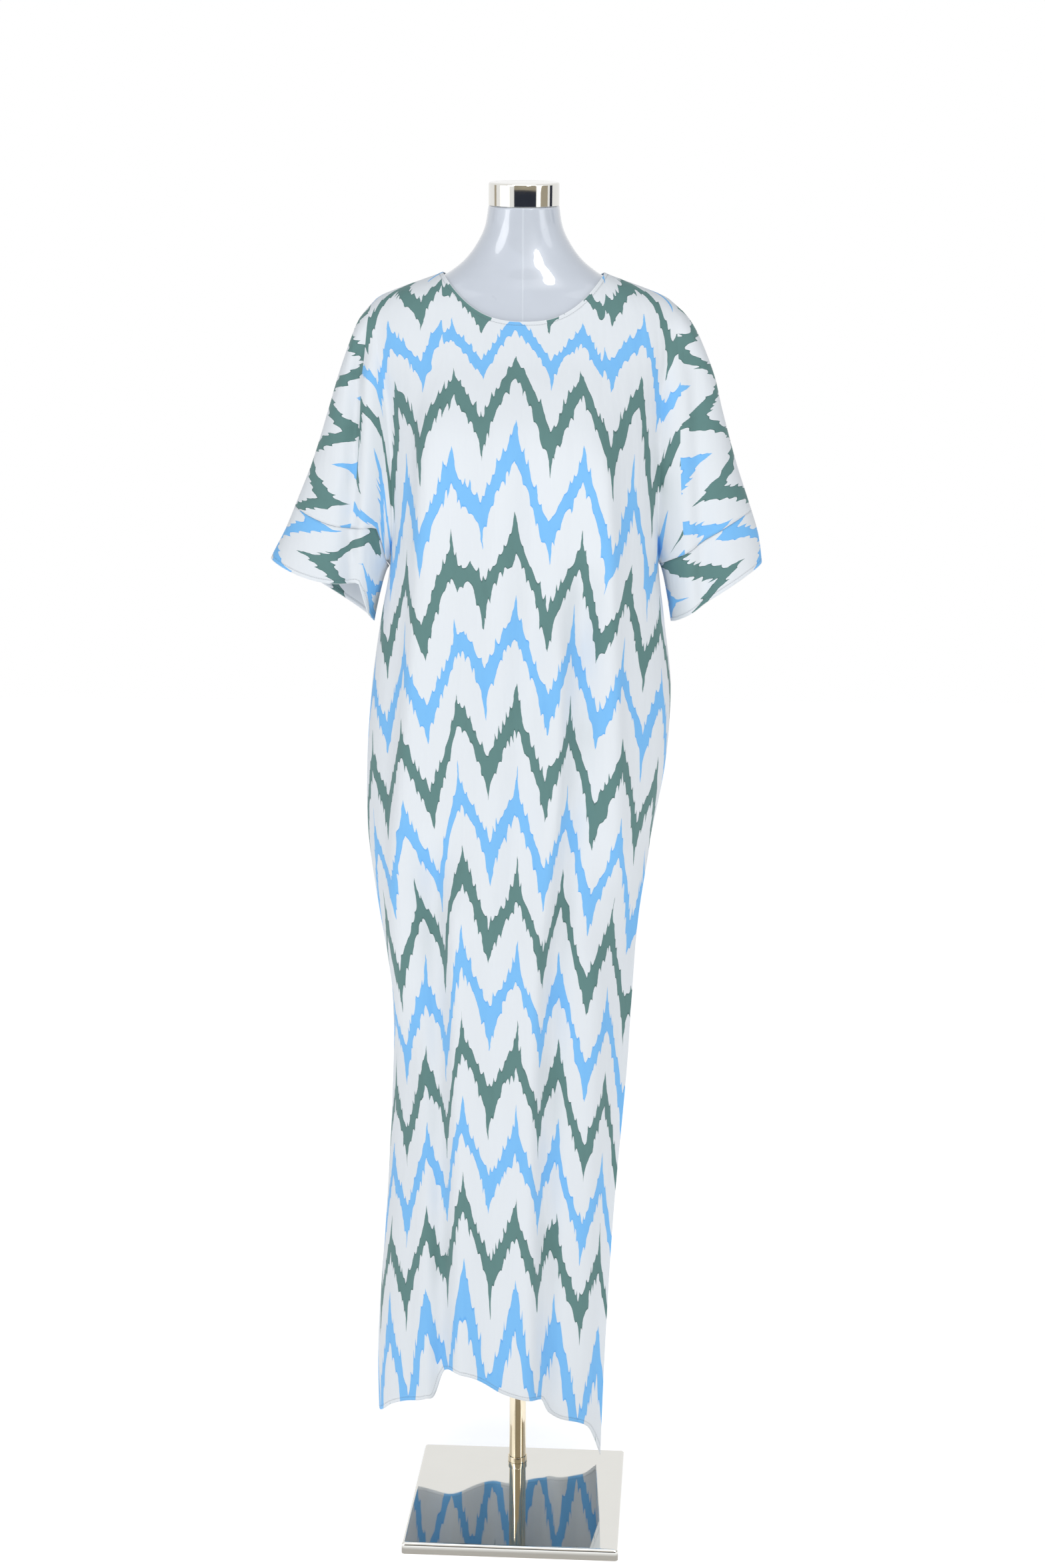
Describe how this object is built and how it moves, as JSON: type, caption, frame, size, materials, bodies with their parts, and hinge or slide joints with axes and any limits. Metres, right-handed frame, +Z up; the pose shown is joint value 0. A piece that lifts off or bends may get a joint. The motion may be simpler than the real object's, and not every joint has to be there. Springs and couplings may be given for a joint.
{
  "type": "kaftan on a limbless dress form with stand",
  "caption": "Long batwing kaftan with a round neck and banded sleeves, worn by a limbless dress form on a pole and flat base plate.",
  "frame": {"origin": "on the floor under the axis of the stand's pole, in the plane of the base plate's underside", "axes": "+Z up along the pole, -Y out of the kaftan's front, +X to the right of a viewer who faces the front"},
  "size_m": [0.6372, 0.4175, 1.7442],
  "materials": {
    "printed_cloth": "light smooth woven cloth with a soft sheen, off-white with rows of ragged zigzags in light blue and grey-green",
    "form_plastic": "smooth light grey plastic, slightly translucent and glossy",
    "chrome": "polished",
    "polished_steel": "mirror-polished sheet steel"
  },
  "bodies": {
    "root": {"front_panel": "printed_cloth", "back_panel": "printed_cloth", "front_sleeve_left": "printed_cloth", "front_sleeve_right": "printed_cloth", "back_sleeve_left": "printed_cloth", "back_sleeve_right": "printed_cloth", "sleeve_band_left": "printed_cloth", "sleeve_band_right": "printed_cloth", "dress_form_left": "form_plastic", "dress_form_right": "form_plastic", "neck_cap": "chrome", "pole": "chrome", "pole_collar": "chrome", "base_plate": "polished_steel"}
  },
  "joints": []
}
